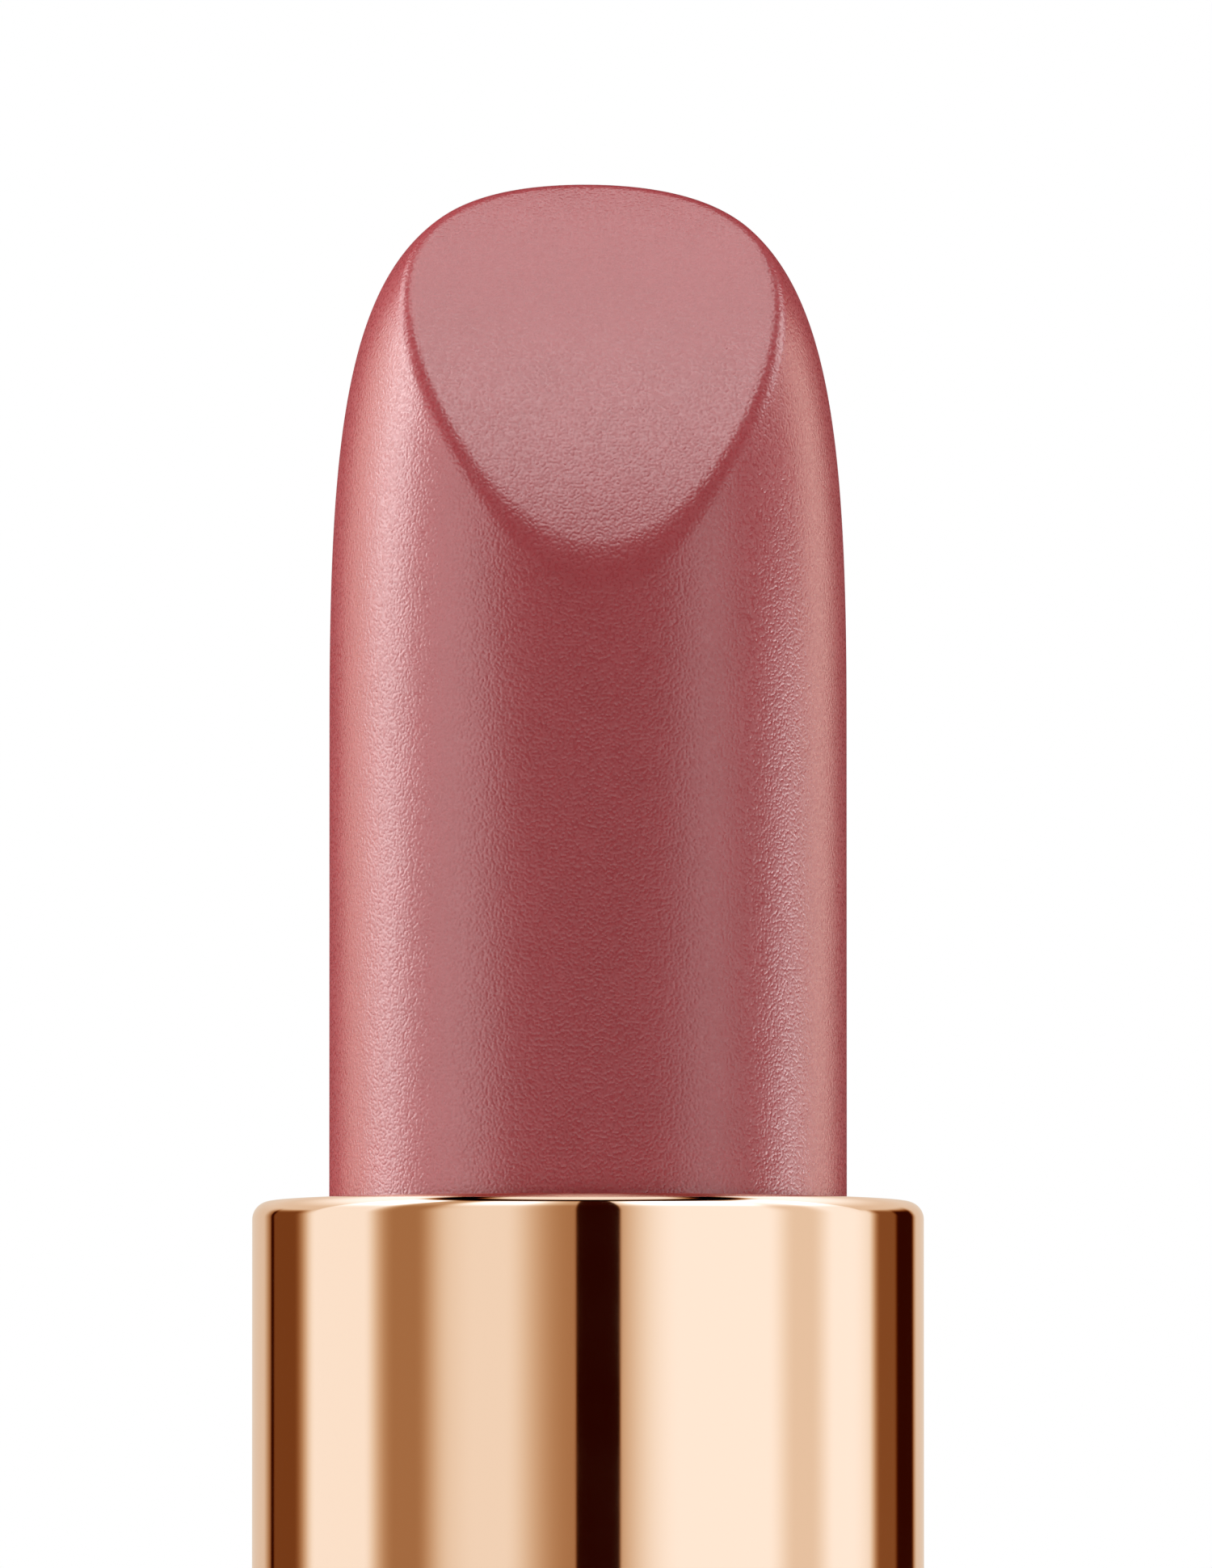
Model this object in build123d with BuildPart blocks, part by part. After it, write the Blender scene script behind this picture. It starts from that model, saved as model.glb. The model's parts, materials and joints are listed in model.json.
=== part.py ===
from build123d import *
import os

# A twist-up lipstick case, standing open with its bullet fully raised and its cap beside it.
# Millimetres, +Z up. The origin is the centre of the base's underside, on the case's axis.
# The bullet's slanted face looks towards -Y, and the cup's two lugs lie along X.

# ---- Driving dimensions --------------------------------------------------------------------

# The pomade bullet
bullet_radius = 6.05
shoulder_height = 11.4       # sleeve rim to where the straight side turns into the nose
nose_height = 12.5           # shoulder to the top of the uncut nose
nose_side_pull = 8.9         # how far the nose's curve is drawn up along the side
nose_top_pull = 5.4          # and out along its top
face_radius = 20.0           # the slanted face is part of a cylinder that lies along X
face_centre_back = 12.8      # that cylinder's axis, behind the case's axis
face_centre_height = 8.1     # and above the sleeve's rim
face_edge_round = 0.35

# The case's outside
case_radius = 9.5            # base and cap
base_height = 28.0
cap_height = 44.0
sleeve_radius = 7.85
rim_height = 54.0            # top of the sleeve
shell_wall = 0.6
trim_height = 0.8            # gold rings where base and cap meet
edge_round = 0.45
rim_round = 0.6              # outer edge of the sleeve's rim

# The twist mechanism
travel = 25.0
travel_turns = 1.5
lug_radius = 0.95
slot_clearance = 0.15        # each side of a lug
running_gap = 0.06
cup_height = 11.0
cup_sink = 1.0               # cup's lip below the sleeve rim when raised
lug_above_cup_floor = 3.0

# Gaps that keep fitted pieces from sharing space
fit_gap = 0.02

# Where the cap stands, mouth down, beside the case
cap_x = -26.0
cap_y = -12.0

# ---- Derived dimensions --------------------------------------------------------------------

cup_inner = bullet_radius + fit_gap
cup_outer = 6.50
fork_inner = cup_outer + running_gap
fork_outer = 7.00
cam_inner = fork_outer + running_gap
cam_outer = 7.50
sleeve_inner = 7.53
sleeve_lip = 0.5             # thickness of the lip turned in at the rim
hidden_sleeve_radius = sleeve_radius - 0.05
mouth_radius = bullet_radius + 0.2

sleeve_bottom = 14.0
lip_underside = rim_height - sleeve_lip
cup_top = rim_height - cup_sink
cup_bottom = cup_top - cup_height
cup_floor = 1.0
lug_height = cup_bottom + lug_above_cup_floor
lug_tip = cam_outer - 0.05
slot_width = 2 * (lug_radius + slot_clearance)

liner_radius = case_radius - shell_wall - fit_gap
liner_bore = 7.97
floor_thickness = 0.8
weight_top = 11.0
web_thickness = 1.0
foot_bottom = weight_top + web_thickness + 0.12
foot_top = foot_bottom + 1.4
trim_lip_height = 2.4        # lip that each trim ring turns into its shell
trim_lip_bottom = base_height - trim_height - trim_lip_height
magnet_inner = 8.22

# ---- Shared shapes -------------------------------------------------------------------------

case_plane = Plane.XY
cap_plane = Plane(origin=(cap_x, cap_y, 0))


def disc(plane, bottom, top, outer, inner=0.0, mode=Mode.ADD):
    """Add or cut a round slab about the plane's axis, with a bore where inner is given."""
    with BuildSketch(plane.offset(bottom)) as section:
        Circle(outer)
        if inner:
            Circle(inner, mode=Mode.SUBTRACT)
    extrude(section.sketch, amount=top - bottom, mode=mode)


def round_top(piece, amount):
    """Round the widest edge of a piece's top face."""
    fillet(piece.edges().group_by(Axis.Z)[-1].sort_by(SortBy.RADIUS)[-1], amount)


def round_bottom(piece, amount):
    """Round the widest edge of a piece's bottom face."""
    fillet(piece.edges().group_by(Axis.Z)[0].sort_by(SortBy.RADIUS)[-1], amount)


os.makedirs("parts", exist_ok=True)

# ---- Base ----------------------------------------------------------------------------------

label_radius = 6.8
label_thickness = 0.15
label_recess = 0.2

# Drawn aluminium cup, with a shallow recess for the shade label in its floor
with BuildPart() as base_shell:
    disc(case_plane, 0, base_height - trim_height, case_radius)
    round_bottom(base_shell, edge_round)
    disc(case_plane, floor_thickness, base_height, case_radius - shell_wall, mode=Mode.SUBTRACT)
    disc(case_plane, 0, label_recess, label_radius + 0.1, mode=Mode.SUBTRACT)
base_shell.part.label = "base_shell"
export_step(base_shell.part, "parts/base_shell.step")

# Blank paper disc in the floor's recess
with BuildPart() as shade_label:
    disc(case_plane, label_recess - label_thickness, label_recess, label_radius)
shade_label.part.label = "shade_label"
export_step(shade_label.part, "parts/shade_label.step")

# Moulded liner: a tube with a web across it, which the weight sits under
with BuildPart() as base_liner:
    disc(case_plane, floor_thickness + fit_gap, trim_lip_bottom - fit_gap, liner_radius)
    disc(case_plane, 0, weight_top + 0.1, liner_bore, mode=Mode.SUBTRACT)
    disc(case_plane, weight_top + 0.1 + web_thickness, base_height, liner_bore, mode=Mode.SUBTRACT)
base_liner.part.label = "base_liner"
export_step(base_liner.part, "parts/base_liner.step")

# Steel slug that gives the case its weight
with BuildPart() as base_weight:
    disc(case_plane, floor_thickness + fit_gap, weight_top, liner_bore - 0.05)
    chamfer(base_weight.edges().filter_by(GeomType.CIRCLE), 0.4)
base_weight.part.label = "base_weight"
export_step(base_weight.part, "parts/base_weight.step")

# Gold ring closing the base, with a lip turned down inside the shell
with BuildPart() as base_collar:
    disc(case_plane, base_height - trim_height, base_height, case_radius, sleeve_radius + 0.1)
    round_top(base_collar, 0.25)
    disc(case_plane, trim_lip_bottom, base_height - trim_height, magnet_inner - fit_gap, sleeve_radius + 0.1)
base_collar.part.label = "base_collar"
export_step(base_collar.part, "parts/base_collar.step")

# Ring magnet in the pocket between the collar's lip and the shell
with BuildPart() as closure_magnet:
    disc(case_plane, trim_lip_bottom, base_height - trim_height - fit_gap, liner_radius, magnet_inner)
closure_magnet.part.label = "closure_magnet"
export_step(closure_magnet.part, "parts/closure_magnet.step")

# ---- Twist mechanism, fixed to the base ----------------------------------------------------

collar_top = 16.9            # thick lower collar of the fork
collar_bore = 5.8
bead_height = 14.8           # snap bead that holds the cam down on the fork
bead_radius = 7.22
groove_height = 16.25        # centre of the torque ring's groove
ring_section = 0.27
ring_radius = fork_outer + 0.04 - ring_section
groove_radius = ring_radius - ring_section
groove_half_width = ring_section + 0.05
fork_top = lip_underside - 0.3
slot_top = lug_height + lug_radius + slot_clearance
slot_bottom = lug_height - travel - lug_radius - slot_clearance

# Fork: a foot set in the liner, and a tube with two straight slots that guide the cup's lugs
with BuildPart() as inner_body:
    with BuildSketch(Plane.XZ):
        with BuildLine():
            Polyline(
                (collar_bore, foot_bottom),
                (liner_bore - fit_gap, foot_bottom),
                (liner_bore - fit_gap, foot_top),
                (fork_outer, foot_top),
                (fork_outer, bead_height - 0.3),
                (bead_radius, bead_height),
                (fork_outer, bead_height + 0.3),
                (fork_outer, groove_height - groove_half_width),
                (groove_radius, groove_height - groove_half_width),
                (groove_radius, groove_height + groove_half_width),
                (fork_outer, groove_height + groove_half_width),
                (fork_outer, fork_top),
                (fork_inner, fork_top),
                (fork_inner, collar_top),
                (collar_bore, collar_top),
                close=True,
            )
        make_face()
    revolve(axis=Axis.Z)
    with BuildSketch(Plane.YZ):
        with Locations((0, (slot_top + slot_bottom) / 2)):
            SlotOverall(slot_top - slot_bottom, slot_width, rotation=90)
    extrude(amount=case_radius, both=True, mode=Mode.SUBTRACT)
inner_body.part.label = "inner_body"
export_step(inner_body.part, "parts/inner_body.step")

# Silicone ring in the fork's groove, which gives the twist its steady drag
with BuildPart() as torque_ring:
    with BuildSketch(Plane.XZ):
        with Locations((ring_radius, groove_height)):
            Circle(ring_section)
    revolve(axis=Axis.Z)
torque_ring.part.label = "torque_ring"
export_step(torque_ring.part, "parts/torque_ring.step")

# ---- Sleeve and cam, which twist -----------------------------------------------------------

# Bright drawn sleeve with its rim turned in around the bullet. It tapers a hair where it enters the base.
with BuildPart() as outer_sleeve:
    disc(case_plane, sleeve_bottom, base_height - trim_height, hidden_sleeve_radius)
    with Locations((0, 0, base_height - trim_height / 2)):
        Cone(hidden_sleeve_radius, sleeve_radius, trim_height)
    disc(case_plane, base_height, rim_height, sleeve_radius)
    round_top(outer_sleeve, rim_round)
    disc(case_plane, sleeve_bottom, lip_underside, sleeve_inner, mode=Mode.SUBTRACT)
    disc(case_plane, lip_underside, rim_height, mouth_radius, mode=Mode.SUBTRACT)
    chamfer(outer_sleeve.edges().group_by(Axis.Z)[-1].sort_by(SortBy.RADIUS)[0], 0.1)
outer_sleeve.part.label = "outer_sleeve"
export_step(outer_sleeve.part, "parts/outer_sleeve.step")

# Tool for one helical slot: one and a half turns, with round ends where the lug stops
cam_middle = (cam_inner + cam_outer) / 2
slot_start = lug_height - travel
with BuildPart() as helical_slot:
    with BuildLine() as slot_path:
        Helix(pitch=travel / travel_turns, height=travel, radius=cam_middle, center=(0, 0, slot_start))
    with BuildSketch(Plane(origin=slot_path.line @ 0, x_dir=(1, 0, 0), z_dir=slot_path.line % 0)):
        Rectangle(1.2, slot_width)
    sweep(path=slot_path.line, is_frenet=True)
    with Locations(
        Location((cam_middle, 0, slot_start), (0, 90, 0)),
        Location((-cam_middle, 0, lug_height), (0, 90, 0)),
    ):
        Cylinder(slot_width / 2, 1.2)

# Cam: a tube with two helical slots, fixed inside the sleeve and snapped over the fork's bead
with BuildPart() as cam_sleeve:
    disc(case_plane, sleeve_bottom, lip_underside - fit_gap, cam_outer, cam_inner)
    disc(case_plane, bead_height - 0.35, bead_height + 0.35, bead_radius + running_gap, mode=Mode.SUBTRACT)
    with PolarLocations(0, 2):
        add(helical_slot.part, mode=Mode.SUBTRACT)
cam_sleeve.part.label = "cam_sleeve"
export_step(cam_sleeve.part, "parts/cam_sleeve.step")

# ---- Carrier, which rises and falls --------------------------------------------------------

rib_width = 0.6
rib_height = 0.17
rib_bottom = cup_bottom + 1.5
rib_top = cup_top - 1.0

# Cup with two lugs outside and four ribs inside that bite into the bullet
with BuildPart() as cup:
    disc(case_plane, cup_bottom, cup_top, cup_outer)
    disc(case_plane, cup_bottom + cup_floor, cup_top, cup_inner, mode=Mode.SUBTRACT)
    with PolarLocations(cup_inner, 4, start_angle=45):
        with Locations((0, 0, (rib_bottom + rib_top) / 2)):
            Box(2 * rib_height, rib_width, rib_top - rib_bottom)
    with BuildSketch(Plane.YZ.offset(cup_inner + 0.1)) as lug_section:
        with Locations((0, lug_height)):
            Circle(lug_radius)
    extrude(amount=lug_tip - cup_inner - 0.1)
    mirror(about=Plane.YZ)
cup.part.label = "cup"
export_step(cup.part, "parts/cup.step")

# Pomade bullet: a round stick with a domed nose, cut off on a slant by a wide cylinder
bullet_bottom = cup_bottom + cup_floor + fit_gap
nose_base = rim_height + shoulder_height
face_centre = rim_height + face_centre_height
with BuildPart() as bullet:
    with BuildSketch(Plane.XZ):
        with BuildLine():
            foot = Line((0, bullet_bottom), (bullet_radius, bullet_bottom))
            side = Line(foot @ 1, (bullet_radius, nose_base))
            nose = Bezier(
                side @ 1,
                (bullet_radius, nose_base + nose_side_pull),
                (nose_top_pull, nose_base + nose_height),
                (0, nose_base + nose_height),
            )
            Line(nose @ 1, foot @ 0)
        make_face()
    revolve(axis=Axis.Z)
    with BuildSketch(Plane.YZ):
        with Locations((0, face_centre + face_radius)):
            Rectangle(4 * bullet_radius, 2 * face_radius)
        with Locations((face_centre_back, face_centre)):
            Circle(face_radius, mode=Mode.SUBTRACT)
    extrude(amount=2 * bullet_radius, both=True, mode=Mode.SUBTRACT)
    slanted_face = bullet.faces().filter_by(GeomType.CYLINDER).sort_by(Axis.Z)[-1]
    fillet(slanted_face.edges(), face_edge_round)
    with PolarLocations(cup_inner, 4, start_angle=45):
        with Locations((0, 0, (cup_bottom + rib_top + fit_gap) / 2)):
            Box(
                2 * (rib_height + fit_gap),
                rib_width + 2 * fit_gap,
                rib_top + fit_gap - cup_bottom,
                mode=Mode.SUBTRACT,
            )
bullet.part.label = "bullet"
export_step(bullet.part, "parts/bullet.step")

# ---- Cap, standing on its mouth ------------------------------------------------------------

top_wall = 0.95
medallion_radius = 6.5
medallion_recess = 0.55
cap_weight_height = 5.0
cap_weight_bottom = cap_height - top_wall - fit_gap - cap_weight_height
liner_top_wall = 1.0
cap_liner_bore = 8.1
grip_rib_reach = 7.9         # the ribs' inner radius, a light grip on the sleeve
grip_rib_bottom = 5.0
grip_rib_height = 8.0
keeper_inner = 8.37

# Drawn aluminium cap with a recess in its top
with BuildPart() as cap_shell:
    disc(cap_plane, trim_height, cap_height, case_radius)
    round_top(cap_shell, edge_round)
    disc(cap_plane, trim_height, cap_height - top_wall, case_radius - shell_wall, mode=Mode.SUBTRACT)
    disc(cap_plane, cap_height - medallion_recess, cap_height, medallion_radius + 0.05, mode=Mode.SUBTRACT)
cap_shell.part.label = "cap_shell"
export_step(cap_shell.part, "parts/cap_shell.step")

# Plain gold disc set in the cap's top
with BuildPart() as cap_medallion:
    disc(cap_plane, cap_height - medallion_recess, cap_height - 0.05, medallion_radius)
    chamfer(cap_medallion.edges().group_by(Axis.Z)[-1], 0.12)
cap_medallion.part.label = "cap_medallion"
export_step(cap_medallion.part, "parts/cap_medallion.step")

# Steel slug under the cap's top
with BuildPart() as cap_weight:
    disc(cap_plane, cap_weight_bottom, cap_weight_bottom + cap_weight_height, liner_radius - 0.03)
    chamfer(cap_weight.edges().filter_by(GeomType.CIRCLE), 0.4)
cap_weight.part.label = "cap_weight"
export_step(cap_weight.part, "parts/cap_weight.step")

# Moulded liner, closed at the top, with six ribs near the mouth that grip the sleeve
with BuildPart() as cap_liner:
    liner_top = cap_weight_bottom - fit_gap
    disc(cap_plane, trim_height + trim_lip_height + fit_gap, liner_top, liner_radius)
    disc(cap_plane, trim_height, liner_top - liner_top_wall, cap_liner_bore, mode=Mode.SUBTRACT)
    with BuildSketch(cap_plane.offset(grip_rib_bottom)):
        with PolarLocations((cap_liner_bore + grip_rib_reach + 0.1) / 2, 6):
            Rectangle(cap_liner_bore - grip_rib_reach + 0.1, 1.2)
    extrude(amount=grip_rib_height)
cap_liner.part.label = "cap_liner"
export_step(cap_liner.part, "parts/cap_liner.step")

# Gold ring round the cap's mouth, with a lip turned up inside the shell
with BuildPart() as cap_collar:
    disc(cap_plane, 0, trim_height, case_radius, cap_liner_bore)
    round_bottom(cap_collar, 0.25)
    disc(cap_plane, trim_height, trim_height + trim_lip_height, keeper_inner - fit_gap, cap_liner_bore)
cap_collar.part.label = "cap_collar"
export_step(cap_collar.part, "parts/cap_collar.step")

# Steel ring that the base's magnet pulls on
with BuildPart() as cap_keeper:
    disc(cap_plane, trim_height + fit_gap, trim_height + trim_lip_height, liner_radius, keeper_inner)
cap_keeper.part.label = "cap_keeper"
export_step(cap_keeper.part, "parts/cap_keeper.step")
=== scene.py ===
import json
import math

import bpy
import numpy as np
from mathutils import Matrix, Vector


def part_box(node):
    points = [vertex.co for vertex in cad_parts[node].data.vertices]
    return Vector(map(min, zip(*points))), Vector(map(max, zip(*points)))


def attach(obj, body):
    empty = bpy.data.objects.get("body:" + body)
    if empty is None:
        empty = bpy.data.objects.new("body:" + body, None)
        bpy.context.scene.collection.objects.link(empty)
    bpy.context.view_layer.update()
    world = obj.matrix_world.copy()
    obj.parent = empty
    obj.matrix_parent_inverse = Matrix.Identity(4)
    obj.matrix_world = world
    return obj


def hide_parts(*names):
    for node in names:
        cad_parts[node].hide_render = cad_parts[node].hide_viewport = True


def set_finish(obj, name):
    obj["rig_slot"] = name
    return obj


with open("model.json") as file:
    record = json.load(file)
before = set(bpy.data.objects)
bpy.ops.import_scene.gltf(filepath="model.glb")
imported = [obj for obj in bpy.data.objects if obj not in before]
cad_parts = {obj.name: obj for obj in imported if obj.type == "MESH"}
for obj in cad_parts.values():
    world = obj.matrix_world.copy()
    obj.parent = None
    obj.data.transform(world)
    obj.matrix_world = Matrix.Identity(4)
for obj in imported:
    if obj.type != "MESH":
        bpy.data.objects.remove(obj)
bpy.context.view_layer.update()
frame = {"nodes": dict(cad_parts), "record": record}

# The looks of a twist-up lipstick case: an open case with its bullet raised, and its cap beside it.
# Metres, in the CAD frame. The bullet and the visible shells are rebuilt as smooth meshes of the same size.

MM = 0.001

# ---- Places and sizes, read from the frame ---------------------------------------------------

low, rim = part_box("outer_sleeve")
SLEEVE_R, SLEEVE_BOTTOM, RIM = rim.x, low.z, rim.z

low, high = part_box("base_shell")
CASE_R, SHELL_TOP = high.x, high.z

low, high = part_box("base_collar")
COLLAR_BOTTOM, BASE_TOP = low.z, high.z

low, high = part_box("bullet")
BULLET_R, BULLET_BOTTOM = high.x, low.z

low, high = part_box("cap_shell")
CAP_AXIS = ((low.x + high.x) / 2, (low.y + high.y) / 2)
CAP_SHELL_BOTTOM, CAP_TOP = low.z, high.z

low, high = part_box("cap_collar")
CAP_COLLAR_TOP = high.z

low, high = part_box("cap_medallion")
MEDALLION_R, MEDALLION_BOTTOM, MEDALLION_TOP = (high.x - low.x) / 2, low.z, high.z

# ---- Sizes that the boxes don't give, as in the CAD ------------------------------------------

SLEEVE_WALL = 0.32 * MM
SLEEVE_STEP = 0.05 * MM      # the sleeve is this much slimmer below the base's mouth
LIP = 0.5 * MM               # thickness of the sleeve's turned-in rim
MOUTH_R = BULLET_R + 0.2 * MM

SHELL_WALL = 0.6 * MM
BASE_FLOOR = 0.8 * MM
LABEL_R = 6.9 * MM
LABEL_RECESS = 0.2 * MM
TRIM_BORE = SLEEVE_R + 0.1 * MM
COLLAR_SEAT_R = 8.2 * MM     # the base ring's lower part, inside the shell

CAP_ROOF = 0.95 * MM
CAP_BORE = 8.1 * MM
CAP_SEAT_R = 8.35 * MM       # the cap ring's upper part, inside the shell
MEDALLION_GAP = 0.05 * MM    # between the cap's disc and the recess that it sits in

# ---- Mesh helpers ----------------------------------------------------------------------------


def mesh_object(name, points, faces, normals=None):
    """A smooth-shaded mesh object, with one normal for each face corner where they are given."""
    mesh = bpy.data.meshes.new(name)
    mesh.from_pydata(points, [], faces)
    mesh.shade_smooth()
    if normals is not None:
        mesh.normals_split_custom_set(normals)
    piece = bpy.data.objects.new(name, mesh)
    bpy.context.scene.collection.objects.link(piece)
    return piece


def rounded_section(corners, steps):
    """The corners of a half-section as (position, normal before, normal after), with rounding.

    corners are (radius, height, rounding) and run anticlockwise, so the material is on the left.
    """
    section = []
    spots = [np.array(corner[:2]) for corner in corners]
    for index, corner in enumerate(corners):
        here, before = spots[index], spots[index - 1]
        after = spots[(index + 1) % len(spots)]
        into = (here - before) / np.linalg.norm(here - before)
        out = (after - here) / np.linalg.norm(after - here)
        facing = np.array((into[1], -into[0]))
        turn = math.atan2(into[0] * out[1] - into[1] * out[0], float(into @ out))
        if not corner[2]:
            section.append((here, facing, np.array((out[1], -out[0]))))
            continue
        side = math.copysign(1, turn)
        start = here - into * corner[2] * math.tan(abs(turn) / 2)
        centre = start - facing * side * corner[2]
        for step in range(steps + 1):
            angle = turn * step / steps
            cosine, sine = math.cos(angle), math.sin(angle)
            normal = np.array((cosine * facing[0] - sine * facing[1], sine * facing[0] + cosine * facing[1]))
            section.append((centre + normal * side * corner[2], normal, normal))
    return section


def lathe(name, corners, axis=(0.0, 0.0), segments=256, steps=8):
    """Turns a closed half-section about a vertical axis, with exact normals on every face corner."""
    section = rounded_section(corners, steps)
    angles = [2 * math.pi * k / segments for k in range(segments)]
    turns = [(math.cos(a), math.sin(a)) for a in angles]
    points, rings = [], []
    for (radius, height), _, _ in section:
        if radius < 1e-9:
            rings.append([len(points)] * segments)
            points.append((axis[0], axis[1], height))
        else:
            rings.append(range(len(points), len(points) + segments))
            points += [(axis[0] + radius * c, axis[1] + radius * s, height) for c, s in turns]
    faces, normals = [], []
    for this in range(len(section)):
        following = (this + 1) % len(section)
        near, far = section[this][2], section[following][1]
        for k in range(segments):
            n = (k + 1) % segments
            corners_here = [
                (rings[this][k], near, k),
                (rings[this][n], near, n),
                (rings[following][n], far, n),
                (rings[following][k], far, k),
            ]
            seen, face = set(), []
            for vertex, normal, turn in corners_here:
                if vertex not in seen:
                    seen.add(vertex)
                    face.append((vertex, normal, turn))
            if len(face) < 3:
                continue
            faces.append([vertex for vertex, _, _ in face])
            for _, normal, turn in face:
                c, s = turns[turn]
                normals.append((normal[0] * c, normal[0] * s, normal[1]))
    return mesh_object(name, points, faces, normals)


# ---- Bullet ----------------------------------------------------------------------------------

# Heights are from the sleeve's rim, and depths from the axis towards the bullet's front.
# The nose is turned from a Bezier curve, and its face is part of a wide cylinder lying across the bullet.
# The face and the nose's top differ from the CAD's by up to about 0.15 mm.
NOSE_START = 11.4 * MM
NOSE_HEIGHT = 12.5 * MM
NOSE_SIDE_PULL = 8.9 * MM
NOSE_TOP_PULL = 5.3 * MM
FACE_RADIUS = 20.0 * MM
FACE_CENTRE_DEPTH = -12.93 * MM
FACE_CENTRE_HEIGHT = 8.17 * MM
FACE_EDGE = 0.18 * MM        # rounding round the face
SPREAD_CENTRE = 12.0 * MM    # height of the point on the axis that the nose's rows fan out from
SPREAD_REACH = 20.0 * MM     # further from that point than any part of the nose
LOWEST_TILT = 89.9           # degrees from upright of the fan's lowest row

along = np.linspace(0, 1, 4000)
near_start, near_end = 3 * (1 - along) ** 2 * along, 3 * (1 - along) * along ** 2
NOSE_RADII = BULLET_R * ((1 - along) ** 3 + near_start) + NOSE_TOP_PULL * near_end
NOSE_HEIGHTS = NOSE_START + NOSE_SIDE_PULL * near_start + NOSE_HEIGHT * (near_end + along ** 3)


def bullet_field(x, y, height):
    """Below zero inside the bullet: the nose's side and the slanted face, rounded where they meet."""
    step = 0.02 * MM
    radius = np.interp(height, NOSE_HEIGHTS, NOSE_RADII, left=BULLET_R, right=0)
    taper = (radius - np.interp(height + step, NOSE_HEIGHTS, NOSE_RADII, left=BULLET_R, right=0)) / step
    side = (np.hypot(x, y) - radius) / np.hypot(1, taper)
    face = np.hypot(-y - FACE_CENTRE_DEPTH, height - FACE_CENTRE_HEIGHT) - FACE_RADIUS
    corner = np.hypot(np.clip(side + FACE_EDGE, 0, None), np.clip(face + FACE_EDGE, 0, None))
    return np.minimum(np.maximum(side, face), -FACE_EDGE) + corner


def make_bullet():
    """The bullet's skin: straight rows up the stick, then rows that fan out over the nose and the face."""
    columns, nose_rows, stick_rows, halvings = 420, 210, 23, 40
    around = np.linspace(0, 2 * math.pi, columns, endpoint=False)
    stick = np.linspace(BULLET_BOTTOM - RIM, SPREAD_CENTRE, stick_rows + 1)[:-1]
    tilt = np.radians(np.linspace(0, LOWEST_TILT, nose_rows + 1))[1:][::-1]
    rise, reach = np.cos(tilt)[:, None], np.sin(tilt)[:, None]
    near, far = np.zeros((nose_rows, columns)), np.full((nose_rows, columns), SPREAD_REACH)
    for _ in range(halvings):
        middle = (near + far) / 2
        outside = bullet_field(
            middle * reach * np.cos(around), middle * reach * np.sin(around), SPREAD_CENTRE + middle * rise
        ) > 0
        far = np.where(outside, middle, far)
        near = np.where(outside, near, middle)
    rows = [(np.full(columns, BULLET_R), np.full(columns, height)) for height in stick]
    rows += [(near[k] * reach[k], SPREAD_CENTRE + near[k] * rise[k]) for k in range(nose_rows)]
    points = [
        np.column_stack((radius * np.cos(around), radius * np.sin(around), RIM + height))
        for radius, height in rows
    ]
    points = np.concatenate(points).tolist()
    faces = []
    for row in range(len(rows) - 1):
        here, above = row * columns, (row + 1) * columns
        for k in range(columns):
            n = (k + 1) % columns
            faces.append((here + k, here + n, above + n, above + k))
    face_centre = FACE_CENTRE_HEIGHT + math.sqrt(FACE_RADIUS ** 2 - FACE_CENTRE_DEPTH ** 2)
    top, bottom, last = len(points), len(points) + 1, (len(rows) - 1) * columns
    points += [(0, 0, RIM + face_centre), (0, 0, BULLET_BOTTOM)]
    for k in range(columns):
        n = (k + 1) % columns
        faces.append((last + k, last + n, top))
        faces.append((n, k, bottom))
    return mesh_object("pomade_bullet", points, faces)


bullet = make_bullet()
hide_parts("bullet")
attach(bullet, "carrier")
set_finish(bullet, "pomade")

# ---- Turned shells ---------------------------------------------------------------------------

# How far edges are rounded
EDGE = 0.45 * MM
FINE_EDGE = 0.08 * MM
RIM_EDGE = 0.42 * MM
TRIM_EDGE = 0.25 * MM
BORE_EDGE = 0.15 * MM
DISC_EDGE = 0.12 * MM
GROOVE_EDGE = 0.05 * MM

GROOVE_R = 5.1 * MM          # a fine groove round the cap's disc, which the CAD's disc doesn't have
GROOVE_DEPTH = 0.1 * MM

sleeve = lathe("polished_sleeve", [
    (SLEEVE_R - SLEEVE_WALL, SLEEVE_BOTTOM, 0),
    (SLEEVE_R - SLEEVE_STEP, SLEEVE_BOTTOM, FINE_EDGE),
    (SLEEVE_R - SLEEVE_STEP, BASE_TOP, 0),
    (SLEEVE_R, BASE_TOP, 0),
    (SLEEVE_R, RIM, RIM_EDGE),
    (MOUTH_R, RIM, FINE_EDGE),
    (MOUTH_R, RIM - LIP, FINE_EDGE),
    (SLEEVE_R - SLEEVE_WALL, RIM - LIP, 0),
], segments=512, steps=16)
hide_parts("outer_sleeve")
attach(sleeve, "sleeve")
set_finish(sleeve, "rose_gold_sleeve")

base = lathe("lacquered_base", [
    (0, LABEL_RECESS, 0),
    (LABEL_R, LABEL_RECESS, 0),
    (LABEL_R, 0, FINE_EDGE),
    (CASE_R, 0, EDGE),
    (CASE_R, SHELL_TOP, FINE_EDGE),
    (CASE_R - SHELL_WALL, SHELL_TOP, 0),
    (CASE_R - SHELL_WALL, BASE_FLOOR, 0),
    (0, BASE_FLOOR, 0),
], segments=384)
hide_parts("base_shell")
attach(base, "base")
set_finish(base, "black_lacquer")

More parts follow.
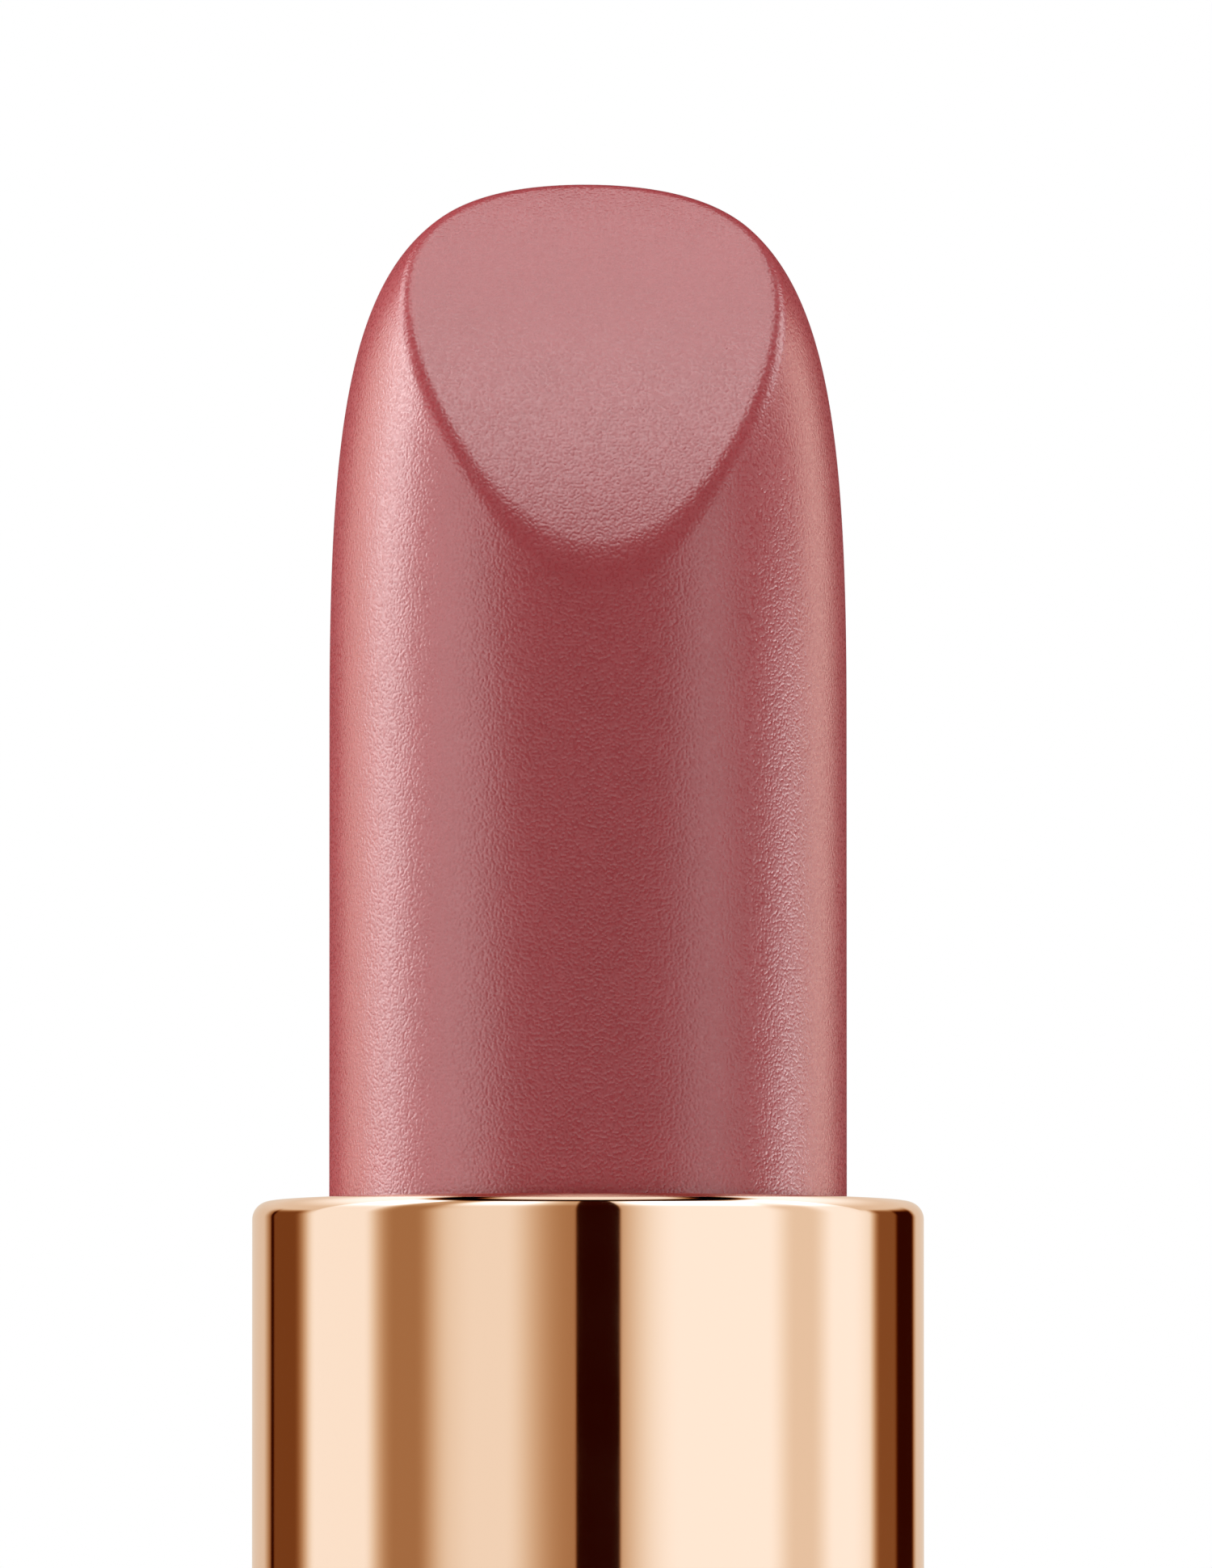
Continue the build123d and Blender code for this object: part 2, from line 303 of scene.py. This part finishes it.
collar = lathe("base_trim_ring", [
    (TRIM_BORE, COLLAR_BOTTOM, 0),
    (COLLAR_SEAT_R, COLLAR_BOTTOM, 0),
    (COLLAR_SEAT_R, SHELL_TOP, 0),
    (CASE_R, SHELL_TOP, FINE_EDGE),
    (CASE_R, BASE_TOP, TRIM_EDGE),
    (TRIM_BORE, BASE_TOP, BORE_EDGE),
], segments=384)
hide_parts("base_collar")
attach(collar, "base")
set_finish(collar, "rose_gold_trim")

cap = lathe("lacquered_cap", [
    (CASE_R - SHELL_WALL, CAP_SHELL_BOTTOM, 0),
    (CASE_R, CAP_SHELL_BOTTOM, FINE_EDGE),
    (CASE_R, CAP_TOP, EDGE),
    (MEDALLION_R + MEDALLION_GAP, CAP_TOP, FINE_EDGE),
    (MEDALLION_R + MEDALLION_GAP, MEDALLION_BOTTOM, 0),
    (0, MEDALLION_BOTTOM, 0),
    (0, CAP_TOP - CAP_ROOF, 0),
    (CASE_R - SHELL_WALL, CAP_TOP - CAP_ROOF, 0),
], axis=CAP_AXIS, segments=384)
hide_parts("cap_shell")
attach(cap, "cap")
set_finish(cap, "black_lacquer")

medallion = lathe("cap_top_disc", [
    (0, MEDALLION_BOTTOM, 0),
    (MEDALLION_R, MEDALLION_BOTTOM, 0),
    (MEDALLION_R, MEDALLION_TOP, DISC_EDGE),
    (GROOVE_R + GROOVE_DEPTH, MEDALLION_TOP, GROOVE_EDGE),
    (GROOVE_R, MEDALLION_TOP - GROOVE_DEPTH, GROOVE_EDGE),
    (GROOVE_R - GROOVE_DEPTH, MEDALLION_TOP, GROOVE_EDGE),
    (0, MEDALLION_TOP, 0),
], axis=CAP_AXIS, segments=384)
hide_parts("cap_medallion")
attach(medallion, "cap")
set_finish(medallion, "rose_gold_trim")

cap_ring = lathe("cap_trim_ring", [
    (CAP_BORE, 0, BORE_EDGE),
    (CASE_R, 0, TRIM_EDGE),
    (CASE_R, CAP_SHELL_BOTTOM, FINE_EDGE),
    (CAP_SEAT_R, CAP_SHELL_BOTTOM, 0),
    (CAP_SEAT_R, CAP_COLLAR_TOP, 0),
    (CAP_BORE, CAP_COLLAR_TOP, 0),
], axis=CAP_AXIS, segments=384)
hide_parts("cap_collar")
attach(cap_ring, "cap")
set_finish(cap_ring, "rose_gold_trim")

# ---- Materials -------------------------------------------------------------------------------


def new_material(name, color, roughness, metallic=0.0, **settings):
    """A Principled material. Returns it with a function that adds nodes and one that links them."""
    material = bpy.data.materials.new(name)
    material.use_nodes = True
    tree = material.node_tree
    shader = tree.nodes["Principled BSDF"]
    shader.inputs["Base Color"].default_value = (*color, 1)
    shader.inputs["Roughness"].default_value = roughness
    shader.inputs["Metallic"].default_value = metallic
    for label, value in settings.items():
        shader.inputs[label.replace("_", " ")].default_value = value

    def node(kind, **values):
        made = tree.nodes.new("ShaderNode" + kind)
        for label, value in values.items():
            label = label.replace("_", " ")
            if label in made.inputs:
                made.inputs[label].default_value = value
            else:
                setattr(made, label.replace(" ", "_"), value)
        return made

    return material, shader, node, tree.links.new


def noise(node, link, scale, detail=2.0, stretch=(1, 1, 1)):
    """Noise over the object's own coordinates. scale is features per metre."""
    place = node("TexCoord")
    mapping = node("Mapping", Scale=stretch)
    texture = node("TexNoise", Scale=scale, Detail=detail)
    link(place.outputs["Object"], mapping.inputs["Vector"])
    link(mapping.outputs["Vector"], texture.inputs["Vector"])
    return texture.outputs["Fac"]


def vary_color(shader, node, link, source, dark, light, start=0.3, end=0.7):
    """The base colour runs from dark to light with a texture."""
    ramp = node("ValToRGB")
    ramp.color_ramp.elements[0].position, ramp.color_ramp.elements[1].position = start, end
    ramp.color_ramp.elements[0].color = (*dark, 1)
    ramp.color_ramp.elements[1].color = (*light, 1)
    link(source, ramp.inputs["Fac"])
    link(ramp.outputs["Color"], shader.inputs["Base Color"])


def vary_roughness(shader, node, link, source, smooth, rough):
    """The roughness runs from smooth to rough with a texture."""
    span = node("MapRange")
    span.inputs["From Min"].default_value, span.inputs["From Max"].default_value = 0.3, 0.7
    span.inputs["To Min"].default_value, span.inputs["To Max"].default_value = smooth, rough
    link(source, span.inputs["Value"])
    link(span.outputs["Result"], shader.inputs["Roughness"])


def add_bump(shader, node, link, source, depth, strength=1.0, under=None):
    """Surface relief from a texture, depth in metres. Returns the bump's output, to lay over another."""
    bump = node("Bump", Strength=strength, Distance=depth)
    link(source, bump.inputs["Height"])
    if under is not None:
        link(under, bump.inputs["Normal"])
    link(bump.outputs["Normal"], shader.inputs["Normal"])
    return bump.outputs["Normal"]


def pomade():
    """Cast pomade: satin, slightly oily, with a fine pebbled skin and a faint pearl."""
    material, shader, node, link = new_material(
        "pomade", (0.58, 0.086, 0.099), 0.30, IOR=1.9, Subsurface_Weight=0.12, Subsurface_Scale=0.4 * MM
    )
    shader.inputs["Subsurface Radius"].default_value = (1.0, 0.35, 0.25)
    vary_color(shader, node, link, noise(node, link, 900, 3), (0.565, 0.082, 0.094), (0.595, 0.090, 0.104))
    pebble = noise(node, link, 15000, 0)
    swell = noise(node, link, 1500, 1)
    vary_roughness(shader, node, link, pebble, 0.24, 0.38)
    under = add_bump(shader, node, link, swell, 0.01 * MM, 0.3)
    add_bump(shader, node, link, pebble, 0.010 * MM, 1.0, under)
    return material


def rose_gold(name, color, smooth, rough, lines):
    """Polished and anodised rose gold, with faint polishing lines round it."""
    material, shader, node, link = new_material(name, color, smooth, 1.0)
    shine = noise(node, link, 600, 3)
    vary_roughness(shader, node, link, shine, smooth, rough)
    drag = noise(node, link, 120, 2, stretch=(1, 1, 60))
    add_bump(shader, node, link, drag, lines)
    return material


def lacquer():
    """Gloss black lacquer with a trace of orange peel."""
    material, shader, node, link = new_material("black_lacquer", (0.008, 0.007, 0.008), 0.12, Coat_Weight=1.0)
    shader.inputs["Coat Roughness"].default_value = 0.03
    shader.inputs["Specular IOR Level"].default_value = 0.1
    vary_roughness(shader, node, link, noise(node, link, 900, 3), 0.10, 0.16)
    add_bump(shader, node, link, noise(node, link, 700, 1), 0.0006 * MM)
    return material


def moulded(name, dark, light, smooth, rough):
    """Injection-moulded plastic with a fine spark-eroded texture."""
    material, shader, node, link = new_material(name, light, rough)
    vary_color(shader, node, link, noise(node, link, 300, 2), dark, light)
    grain = noise(node, link, 9000, 1)
    vary_roughness(shader, node, link, grain, smooth, rough)
    add_bump(shader, node, link, grain, 0.004 * MM, 0.6)
    return material


def turned_steel(name, color, rough):
    """Turned and plated metal, with fine tool marks."""
    material, shader, node, link = new_material(name, color, rough, 1.0)
    marks = noise(node, link, 150, 3, stretch=(1, 1, 40))
    vary_roughness(shader, node, link, marks, rough * 0.8, rough * 1.3)
    add_bump(shader, node, link, marks, 0.003 * MM)
    return material


def paper():
    """Coated paper with its fibres just showing."""
    material, shader, node, link = new_material("paper_label", (0.86, 0.84, 0.80), 0.55)
    fibre = noise(node, link, 3500, 4)
    vary_color(shader, node, link, fibre, (0.80, 0.78, 0.73), (0.89, 0.87, 0.83))
    add_bump(shader, node, link, fibre, 0.006 * MM, 0.5)
    return material


def silicone():
    """Greased translucent silicone."""
    material, shader, node, link = new_material("silicone", (0.5, 0.5, 0.49), 0.25, Subsurface_Weight=0.5)
    shader.inputs["Subsurface Scale"].default_value = 0.5 * MM
    vary_roughness(shader, node, link, noise(node, link, 2500, 2), 0.12, 0.3)
    add_bump(shader, node, link, noise(node, link, 1500, 2), 0.004 * MM)
    return material


MATERIALS = {
    "pomade": pomade(),
    "rose_gold_sleeve": rose_gold("rose_gold_sleeve", (0.885, 0.635, 0.455), 0.045, 0.06, 0.0002 * MM),
    "rose_gold_trim": rose_gold("rose_gold_trim", (0.86, 0.58, 0.42), 0.10, 0.16, 0.001 * MM),
    "black_lacquer": lacquer(),
    "white_plastic": moulded("white_plastic", (0.74, 0.73, 0.69), (0.80, 0.79, 0.76), 0.35, 0.5),
    "black_plastic": moulded("black_plastic", (0.015, 0.015, 0.015), (0.025, 0.025, 0.026), 0.35, 0.5),
    "natural_plastic": moulded("natural_plastic", (0.66, 0.64, 0.57), (0.74, 0.72, 0.66), 0.35, 0.5),
    "ivory_plastic": moulded("ivory_plastic", (0.72, 0.66, 0.53), (0.80, 0.74, 0.62), 0.18, 0.3),
    "steel_weight": turned_steel("steel_weight", (0.46, 0.45, 0.44), 0.3),
    "magnet": turned_steel("magnet", (0.55, 0.54, 0.50), 0.22),
    "paper_label": paper(),
    "silicone": silicone(),
}

slot_of = {part["node"]: part["material_slot"] for part in frame["record"]["subparts"]}
for node_name, cad_object in frame["nodes"].items():
    cad_object.data.materials.clear()
    cad_object.data.materials.append(MATERIALS[slot_of[node_name]])
for piece in (bullet, sleeve, base, collar, cap, medallion, cap_ring):
    piece.data.materials.append(MATERIALS[piece["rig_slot"]])

# ---- Studio ----------------------------------------------------------------------------------

scene = bpy.context.scene
scene.view_settings.view_transform = "Standard"

FLOOR_SIZE = 6.0
FLOOR_FADE = (0.3, 1.4)      # distances between which the floor starts to glow, to match the background
FLOOR_GLOW = 0.15
FLOOR_BOUNCE = 0.55          # share of the floor's light that reaches the matt pieces
LAMP_DISTANCE = 0.5
LAMP_AIM = RIM + 10 * MM     # the height that the lamps face
VIEW_TURN = -2.6             # degrees that the camera and lights stand round from the bullet's front

BACK_FROM = 110              # further round than this, softboxes are warmer and the tent is plain higher up
BACK_COLOR = (1.0, 0.82, 0.70)

# Softboxes for the bullet and other matt surfaces: azimuth, elevation, size in metres, and radiance
SOFTBOXES = {
    "left_key": (-100, 10, 0.22, 4.5),
    "left_near": (-60, 8, 0.30, 1.5),
    "left_back": (-125, 8, 0.22, 1.5),
    "left_high": (-110, 35, 0.30, 3.0),
    "right_key": (100, -8, 0.16, 6.0),
    "right_near": (55, 8, 0.22, 1.2),
    "right_back": (125, 8, 0.22, 2.0),
    "right_high": (100, 35, 0.25, 3.0),
    "front_high": (0, 57, 0.25, 2.5),
    "top_box": (0, 90, 0.40, 1.75),
}

# Suns for the floor: azimuth, elevation, angular width in degrees, and strength
FLOOR_SUNS = {
    "floor_dome": (0, 90, 150, 2.2),
    "floor_key": (-50, 50, 35, 1.5),
}

TENT_R = 0.8
TENT_CENTRE = RIM
TENT_WARMTH = (1.0, 1.7, 2.5)  # the powers that turn the brightness into red, green and blue

# Going up the tent, in degrees: where the bands behind the case blend into one tone, where the wall
# brightens, where it ends in a dark ring, and where the roof begins
PLAIN_ABOVE = (10, 20)
BRIGHTER_ABOVE = (25, 50)
WALL_ENDS = (58, 64)
ROOF_BEGINS = (70, 76)
BACK_BRIGHTNESS = 0.85       # of that one tone
UPPER_GAIN = 0.5             # share that the wall gains where it brightens
ROOF_BRIGHTNESS = 1.1

# The reflection tent is a backdrop with cards hung in front of it, each over the ones above it in this list.
# A card has its first and last azimuth from the camera's side, its brightness, and its edges' softness.
BACKDROP = 0.8
CARDS = {
    "left_flag": (-143, -108, 0.20, 12),
    "left_wing": (-114, -76, 1.10, 14),
    "left_gap": (-76, -54, 0.42, 14),
    "left_panel": (-50, -16, 1.00, 24),
    "near_panel": (-17, 14, 0.45, 24),
    "right_wing": (18, 116, 1.15, 28),
    "right_seam": (70, 88, 0.90, 12),
    "right_flag": (116, 151, 0.25, 8),
    "right_black": (132, 149, 0.03, 4),
    "left_black": (-140, -137, 0.03, 2),
    "camera_flag": (-4, 11, 0.02, 1),
}


def add_stage(name, points, faces):
    """A studio piece, which isn't part of the object."""
    piece = mesh_object(name, points, faces)
    return piece


def make_floor():
    """A pale floor that glows a little far out, so that no horizon shows against the background."""
    half = FLOOR_SIZE / 2
    corners = [(-half, -half, 0), (half, -half, 0), (half, half, 0), (-half, half, 0)]
    floor = add_stage("floor", corners, [(0, 1, 2, 3)])
    material, shader, node, link = new_material("pale_floor", (0.82, 0.82, 0.81), 0.9)
    shader.inputs["Specular IOR Level"].default_value = 0
    vary_color(shader, node, link, noise(node, link, 40, 3), (0.81, 0.81, 0.80), (0.83, 0.83, 0.82))
    place, reach, fade = node("NewGeometry"), node("VectorMath", operation="LENGTH"), node("MapRange")
    fade.inputs["From Min"].default_value, fade.inputs["From Max"].default_value = FLOOR_FADE
    fade.inputs["To Max"].default_value = FLOOR_GLOW
    link(place.outputs["Position"], reach.inputs["Vector"])
    link(reach.outputs["Value"], fade.inputs["Value"])
    link(fade.outputs["Result"], shader.inputs["Emission Strength"])
    shader.inputs["Emission Color"].default_value = (1, 1, 1, 1)
    path, dim, shade = node("LightPath"), node("MapRange"), node("HueSaturation")
    dim.inputs["To Min"].default_value, dim.inputs["To Max"].default_value = 1, FLOOR_BOUNCE
    link(path.outputs["Is Diffuse Ray"], dim.inputs["Value"])
    link(dim.outputs["Result"], shade.inputs["Value"])
    link(shader.inputs["Base Color"].links[0].from_socket, shade.inputs["Color"])
    link(shade.outputs["Color"], shader.inputs["Base Color"])
    floor.data.materials.append(material)
    return floor


def tent_material():
    """Light by direction: the cards' bands going round, then a dark ring and the roof going up.

    It is warmer where it is dimmer.
    """
    material = bpy.data.materials.new("tent_light")
    material.use_nodes = True
    tree = material.node_tree
    tree.nodes.clear()
    link = tree.links.new

    def math_node(operation, *sources):
        made = tree.nodes.new("ShaderNodeMath")
        made.operation = operation
        for slot_index, source in enumerate(sources):
            if isinstance(source, (int, float)):
                made.inputs[slot_index].default_value = source
            else:
                link(source, made.inputs[slot_index])
        return made.outputs["Value"]

    place = tree.nodes.new("ShaderNodeNewGeometry")
    split = tree.nodes.new("ShaderNodeSeparateXYZ")
    link(place.outputs["Position"], split.inputs["Vector"])
    x, y, z = split.outputs
    azimuth = math_node("ARCTAN2", x, math_node("MULTIPLY", y, -1))
    around = math_node("FRACT", math_node("MULTIPLY_ADD", azimuth, 0.5 / math.pi, 0.5 - VIEW_TURN / 360))

    def smooth_step(source, start, end):
        span = tree.nodes.new("ShaderNodeMapRange")
        span.interpolation_type = "SMOOTHSTEP"
        span.inputs["From Min"].default_value, span.inputs["From Max"].default_value = start, end
        link(source, span.inputs["Value"])
        return span.outputs["Result"]

    def edge(degrees, softness):
        middle, half = degrees / 360 + 0.5, softness / 720
        return smooth_step(around, middle - half, middle + half)

    def cover_with(under, over, cover):
        """Brings one brightness over another, as far as cover goes."""
        return math_node("ADD", under, math_node("MULTIPLY", cover, math_node("SUBTRACT", over, under)))

    bands = BACKDROP
    for first, last, brightness, softness in CARDS.values():
        cover = math_node("SUBTRACT", edge(first, softness), edge(last, softness))
        bands = cover_with(bands, brightness, cover)
    flat = math_node("SQRT", math_node("ADD", math_node("MULTIPLY", x, x), math_node("MULTIPLY", y, y)))
    elevation = math_node("ARCTAN2", math_node("SUBTRACT", z, TENT_CENTRE), flat)

    def going_up(span):
        return smooth_step(elevation, math.radians(span[0]), math.radians(span[1]))

    from_front = math_node("ABSOLUTE", math_node("SUBTRACT", around, 0.5))
    behind = math_node("GREATER_THAN", from_front, BACK_FROM / 360)
    wall = cover_with(bands, BACK_BRIGHTNESS, math_node("MULTIPLY", behind, going_up(PLAIN_ABOVE)))
    wall = math_node("MULTIPLY", wall, math_node("MULTIPLY_ADD", going_up(BRIGHTER_ABOVE), UPPER_GAIN, 1))
    wall = math_node("MULTIPLY", wall, math_node("SUBTRACT", 1, going_up(WALL_ENDS)))
    level = math_node("ADD", wall, math_node("MULTIPLY", going_up(ROOF_BEGINS), ROOF_BRIGHTNESS))
    color = tree.nodes.new("ShaderNodeCombineColor")
    for channel, power in zip(("Red", "Green", "Blue"), TENT_WARMTH):
        link(math_node("POWER", level, power), color.inputs[channel])
    emission = tree.nodes.new("ShaderNodeEmission")
    link(color.outputs["Color"], emission.inputs["Color"])
    output = tree.nodes.new("ShaderNodeOutputMaterial")
    link(emission.outputs["Emission"], output.inputs["Surface"])
    return material


def make_tent():
    """A sphere of light round the case, open below, that only reflections see."""
    rows, columns = 48, 96
    top, reach = 0.002 * math.pi, 0.7 * math.pi
    points, faces = [], []
    for row in range(rows + 1):
        polar = top + reach * row / rows
        for column in range(columns):
            turn = 2 * math.pi * column / columns
            points.append((
                TENT_R * math.sin(polar) * math.cos(turn),
                TENT_R * math.sin(polar) * math.sin(turn),
                TENT_CENTRE + TENT_R * math.cos(polar),
            ))
    for row in range(rows):
        for column in range(columns):
            after = (column + 1) % columns
            here, below = row * columns, (row + 1) * columns
            faces.append((here + column, below + column, below + after, here + after))
    tent = add_stage("light_tent", points, faces)
    tent.data.materials.append(tent_material())
    tent.visible_camera = False
    tent.visible_diffuse = False
    tent.visible_shadow = False
    return tent


def light_only(source, name, receivers):
    """Limits a light source to the receivers."""
    group = bpy.data.collections.new(name)
    for receiver in receivers:
        group.objects.link(receiver)
    source.light_linking.receiver_collection = group


def add_lamp(name, kind, azimuth, elevation, receivers):
    """A lamp that faces the bullet and lights only the receivers."""
    light = bpy.data.lights.new(name, kind)
    lamp = bpy.data.objects.new(name, light)
    scene.collection.objects.link(lamp)
    turn, up = math.radians(azimuth + VIEW_TURN), math.radians(elevation)
    back = Vector((math.sin(turn) * math.cos(up), -math.cos(turn) * math.cos(up), math.sin(up)))
    lamp.location = Vector((0, 0, LAMP_AIM)) + back * LAMP_DISTANCE
    lamp.rotation_mode = "QUATERNION"
    lamp.rotation_quaternion = back.to_track_quat("Z", "Y")
    lamp.visible_camera = False
    light_only(lamp, name + "_on", receivers)
    return light


def add_softbox(name, azimuth, elevation, size, radiance):
    """A square area light for the bullet and the other matt pieces."""
    light = add_lamp(name, "AREA", azimuth, elevation, matt_pieces)
    light.size, light.energy = size, radiance * size * size * math.pi
    if abs(azimuth) > BACK_FROM:
        light.color = BACK_COLOR


def add_floor_sun(name, azimuth, elevation, spread, strength):
    """A wide sun that lights the floor evenly, with soft shadows."""
    light = add_lamp(name, "SUN", azimuth, elevation, (floor,))
    light.angle, light.energy = math.radians(spread), strength


def make_world():
    """White to the camera, and dark to everything else."""
    world = bpy.data.worlds.new("studio_white")
    scene.world = world
    world.use_nodes = True
    tree = world.node_tree
    path = tree.nodes.new("ShaderNodeLightPath")
    background = tree.nodes["Background"]
    background.inputs["Color"].default_value = (1, 1, 1, 1)
    tree.links.new(path.outputs["Is Camera Ray"], background.inputs["Strength"])
    world.cycles_visibility.glossy = False


floor = make_floor()
tent = make_tent()
polished_pieces = (sleeve, base, collar, cap, medallion, cap_ring)
matt_pieces = (bullet, *frame["nodes"].values())
light_only(tent, "tent_on", polished_pieces)
make_world()
for name, (azimuth, elevation, size, radiance) in SOFTBOXES.items():
    add_softbox(name, azimuth, elevation, size, radiance)
for name, (azimuth, elevation, spread, strength) in FLOOR_SUNS.items():
    add_floor_sun(name, azimuth, elevation, spread, strength)

# ---- Camera ----------------------------------------------------------------------------------

CAMERA_DISTANCE = 0.6
FRAME_HEIGHT = 36.67 * MM    # what the picture's long side spans at the case's axis
AIM_RIGHT = 0.42 * MM
AIM_ABOVE_RIM = 9.77 * MM
NEAREST, FARTHEST = 0.01, 10.0
LOOK_UP = math.radians(1.6)  # how steeply the line from the camera to the rim rises

camera_data = bpy.data.cameras.new("camera")
camera = bpy.data.objects.new("camera", camera_data)
scene.collection.objects.link(camera)
turn = math.radians(VIEW_TURN)
aim = Vector((AIM_RIGHT * math.cos(turn), AIM_RIGHT * math.sin(turn), RIM + AIM_ABOVE_RIM))
camera.location = (
    aim.x + CAMERA_DISTANCE * math.sin(turn),
    aim.y - CAMERA_DISTANCE * math.cos(turn),
    RIM - CAMERA_DISTANCE * math.tan(LOOK_UP),
)
camera.rotation_mode = "QUATERNION"
camera.rotation_quaternion = (aim - camera.location).to_track_quat("-Z", "Y")
camera_data.lens = camera_data.sensor_width * (aim - camera.location).length / FRAME_HEIGHT
camera_data.clip_start, camera_data.clip_end = NEAREST, FARTHEST
scene.camera = camera
